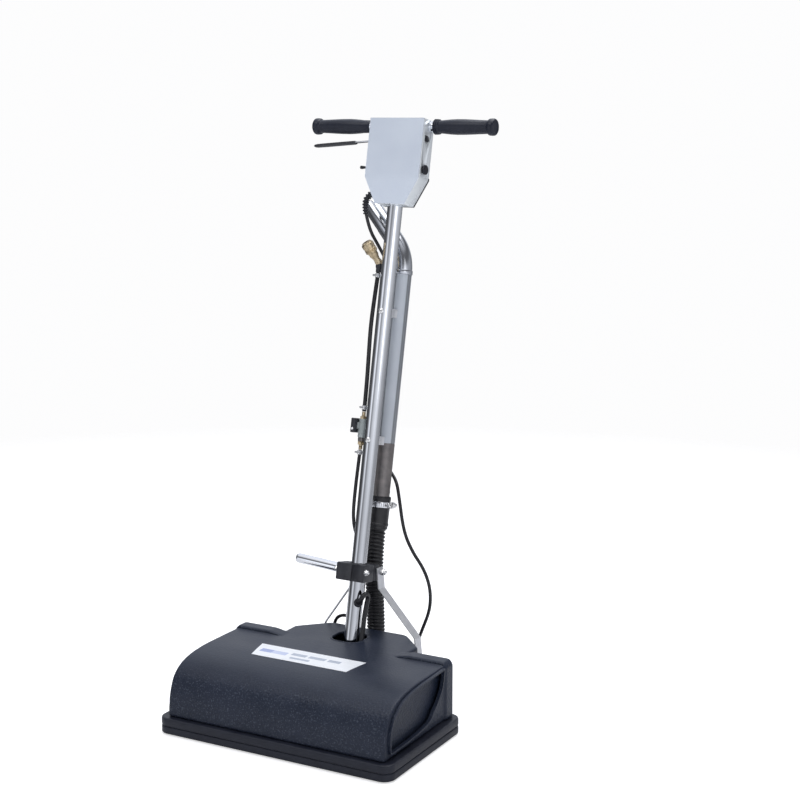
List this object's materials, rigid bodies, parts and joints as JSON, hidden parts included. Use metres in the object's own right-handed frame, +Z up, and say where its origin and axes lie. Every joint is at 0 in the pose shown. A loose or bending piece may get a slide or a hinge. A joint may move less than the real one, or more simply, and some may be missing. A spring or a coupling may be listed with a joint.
{
  "type": "carpet cleaner machine",
  "caption": "Powered carpet-cleaning floor head with cylindrical brush, vacuum shoe, adjustable tilting handle, sight tube, spray valve and switch box.",
  "frame": {"origin": "on the floor, in the middle of the front glide lip of the vacuum shoe", "axes": "+X to the right seen from the front, +Y to the rear where the handle leans, +Z up"},
  "size_m": [0.526, 0.5785, 1.2016],
  "materials": {
    "shell_plastic": "fine-grained black-slate moulded plastic",
    "bumper_rubber": "black moulded bumper",
    "chrome": "polished chrome plate",
    "polished_steel": "polished stainless tube",
    "dull_steel": "dull stainless tube",
    "zinc": "zinc-plated steel",
    "aluminium": "brushed aluminium",
    "clear": "clear rigid tube",
    "grip_rubber": "black rubber",
    "hose_rubber": "black hose",
    "black_plastic": "black moulded plastic",
    "brass": "machined brass",
    "motor_paint": "dark painted steel",
    "bristle": "blue nylon bristles",
    "tyre_grey": "grey rubber wheel",
    "belt_rubber": "toothed rubber belt",
    "button_black": "black gloss plastic",
    "cord_jacket": "black flexible cord"
  },
  "bodies": {
    "head": {"head_cover": "shell_plastic", "bumper": "bumper_rubber", "base_plate": "zinc", "cover_screws": "zinc", "vacuum_shoe": "dull_steel", "vacuum_duct": "black_plastic", "brush_motor": "motor_paint", "drive_belt": "belt_rubber", "brush_end_plates": "zinc", "brush_bearings": "brass", "spray_manifold": "brass", "spray_nozzles": "brass", "solution_inlet": "brass", "pivot_bracket": "zinc", "pivot_bolt": "zinc", "stay_anchors": "zinc", "wheel_axles": "zinc", "vacuum_hose": "hose_rubber", "lower_solution_hose": "hose_rubber", "motor_cable": "cord_jacket", "power_cord": "cord_jacket", "mains_plug": "button_black"},
    "brush": {"brush_core": "black_plastic", "brush_bristles": "bristle", "brush_pulley": "aluminium"},
    "rotor": {"motor_pulley": "aluminium"},
    "left_wheel_body": {"left_wheel": "tyre_grey"},
    "right_wheel_body": {"right_wheel": "tyre_grey"},
    "handle": {"main_tube": "chrome", "tube_grommet": "grip_rubber", "handlebar": "chrome", "left_grip": "grip_rubber", "right_grip": "grip_rubber", "box_shell": "aluminium", "box_front_plate": "aluminium", "switch_bodies": "black_plastic", "strain_relief": "grip_rubber", "vacuum_bend": "polished_steel", "sight_tube": "clear", "vacuum_tube": "dull_steel", "hose_cuff": "grip_rubber", "hose_clamps": "zinc", "tube_brackets": "zinc", "bracket_bolts": "chrome", "solution_valve": "chrome", "valve_coil": "button_black", "brass_fittings": "brass", "quick_connect": "brass", "upper_solution_hose": "hose_rubber"},
    "trigger": {"trigger_lever": "dull_steel", "trigger_sleeve": "grip_rubber"},
    "rocker": {"power_rocker": "button_black"},
    "toggle": {"spray_toggle": "button_black"},
    "reset": {"reset_button": "button_black"},
    "collar": {"quick_connect_collar": "brass"},
    "clamp": {"clamp_block": "black_plastic", "clamp_bolts": "zinc", "peg_handle": "chrome"},
    "stays": {"left_stay": "zinc", "right_stay": "zinc"}
  },
  "joints": [
    {"name": "handle_tilt", "type": "hinge", "parent": "head", "child": "handle", "pos_m": [0, 0.1505, 0.1], "axis": [-1, 0, 0], "range_deg": [-8, 14], "deforming": ["vacuum_hose", "lower_solution_hose", "motor_cable", "power_cord"]},
    {"name": "clamp_slide", "type": "slide", "parent": "handle", "child": "clamp", "axis": [0, 0.2079, 0.9781], "range_m": [-0.01454, 0.02544]},
    {"name": "stay_swing", "type": "hinge", "parent": "clamp", "child": "stays", "pos_m": [0, 0.21893, 0.27765], "axis": [-1, 0, 0], "range_deg": [-0.62, 1.05]},
    {"name": "brush_spin", "type": "hinge", "parent": "head", "child": "brush", "pos_m": [0, -0.062, 0.0425], "axis": [1, 0, 0], "continuous": true},
    {"name": "rotor_spin", "type": "hinge", "parent": "head", "child": "rotor", "pos_m": [0, 0.074, 0.101], "axis": [1, 0, 0], "continuous": true},
    {"name": "left_wheel_spin", "type": "hinge", "parent": "head", "child": "left_wheel_body", "pos_m": [-0.168, 0.2, 0.036], "axis": [1, 0, 0], "continuous": true},
    {"name": "right_wheel_spin", "type": "hinge", "parent": "head", "child": "right_wheel_body", "pos_m": [0.168, 0.2, 0.036], "axis": [1, 0, 0], "continuous": true},
    {"name": "trigger_pull", "type": "hinge", "parent": "handle", "child": "trigger", "pos_m": [-0.038, 0.37359, 1.14955], "axis": [0, 0.9781, -0.2079], "range_deg": [0, 6], "stiffness_Nm_per_rad": 3, "springref_deg": -6.88},
    {"name": "power_rock", "type": "hinge", "parent": "handle", "child": "rocker", "pos_m": [0.06, 0.36611, 1.15574], "axis": [0, 0.9781, -0.2079], "range_deg": [0, 14]},
    {"name": "spray_flip", "type": "hinge", "parent": "handle", "child": "toggle", "pos_m": [-0.068, 0.35618, 1.09651], "axis": [0, 0.9781, -0.2079], "range_deg": [-6, 6], "stiffness_Nm_per_rad": 0.05},
    {"name": "reset_press", "type": "slide", "parent": "handle", "child": "reset", "axis": [-1, 0, 0], "range_m": [0, 0.002], "stiffness_N_per_m": 400, "springref_m": -0.002},
    {"name": "collar_pull", "type": "slide", "parent": "handle", "child": "collar", "axis": [0.4047, 0.3452, -0.8468], "range_m": [0, 0.005], "stiffness_N_per_m": 600, "springref_m": -0.003}
  ],
  "couplings": [
    {"joint": "clamp_slide", "follows": "handle_tilt", "m_per_rad": 0.10208},
    {"joint": "stay_swing", "follows": "handle_tilt", "ratio": 0.067774},
    {"joint": "rotor_spin", "follows": "brush_spin", "ratio": 1.4444}
  ]
}
